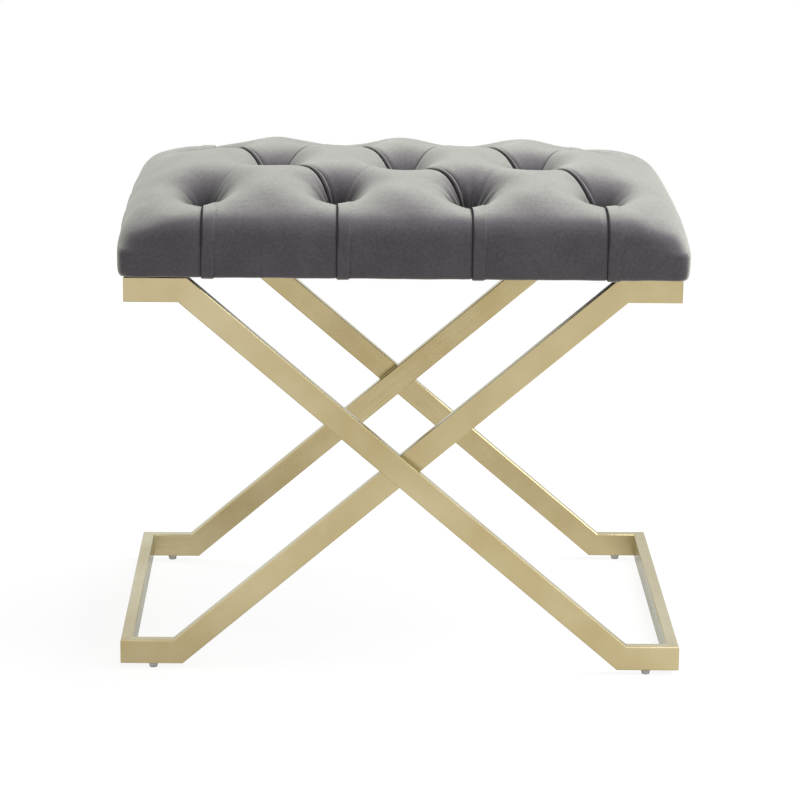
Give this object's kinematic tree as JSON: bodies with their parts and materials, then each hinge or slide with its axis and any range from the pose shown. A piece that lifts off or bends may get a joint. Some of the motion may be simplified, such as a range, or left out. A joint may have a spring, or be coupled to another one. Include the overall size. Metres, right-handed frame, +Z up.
{
  "type": "upholstered bench",
  "caption": "Deep-tufted velvet bench seat on nested rectangular tube frames that cross as an X, standing on push-in plastic glides.",
  "frame": {"origin": "on the floor under the middle of the bench", "axes": "+X along the seat towards the outer frame's feet, +Y to the back, +Z up"},
  "size_m": [0.5924, 0.444, 0.5138],
  "materials": {
    "champagne_steel": "brushed pale champagne gold, satin",
    "glide_plastic": "cloudy translucent grey plastic",
    "zinc_plated_steel": "zinc plated",
    "plywood": "raw birch plywood",
    "foam": "cut polyurethane foam",
    "velvet": "short-pile grey velvet",
    "cambric": "black non-woven dust cover",
    "twine": "waxed upholstery twine"
  },
  "bodies": {
    "root": {"dust_cover": "cambric", "foam_pad": "foam", "inner_back_arm": "champagne_steel", "inner_back_corner_plate": "champagne_steel", "inner_back_diagonal": "champagne_steel", "inner_back_foot": "champagne_steel", "inner_back_glide": "glide_plastic", "inner_back_seat_bolt": "zinc_plated_steel", "inner_back_t_nut": "zinc_plated_steel", "inner_back_washer": "zinc_plated_steel", "inner_bottom_rail": "champagne_steel", "inner_front_arm": "champagne_steel", "inner_front_corner_plate": "champagne_steel", "inner_front_diagonal": "champagne_steel", "inner_front_foot": "champagne_steel", "inner_front_glide": "glide_plastic", "inner_front_seat_bolt": "zinc_plated_steel", "inner_front_t_nut": "zinc_plated_steel", "inner_front_washer": "zinc_plated_steel", "inner_top_rail": "champagne_steel", "outer_back_arm": "champagne_steel", "outer_back_corner_plate": "champagne_steel", "outer_back_diagonal": "champagne_steel", "outer_back_foot": "champagne_steel", "outer_back_glide": "glide_plastic", "outer_back_seat_bolt": "zinc_plated_steel", "outer_back_t_nut": "zinc_plated_steel", "outer_back_washer": "zinc_plated_steel", "outer_bottom_rail": "champagne_steel", "outer_front_arm": "champagne_steel", "outer_front_corner_plate": "champagne_steel", "outer_front_diagonal": "champagne_steel", "outer_front_foot": "champagne_steel", "outer_front_glide": "glide_plastic", "outer_front_seat_bolt": "zinc_plated_steel", "outer_front_t_nut": "zinc_plated_steel", "outer_front_washer": "zinc_plated_steel", "outer_top_rail": "champagne_steel", "seat_board": "plywood", "tuft_tie_01": "twine", "tuft_tie_02": "twine", "tuft_tie_03": "twine", "tuft_tie_04": "twine", "tuft_tie_05": "twine", "tuft_tie_06": "twine", "tuft_tie_07": "twine", "tuft_tie_08": "twine", "tuft_tie_09": "twine", "tuft_tie_10": "twine", "tuft_tie_11": "twine", "velvet_cover": "velvet"}
  },
  "joints": []
}
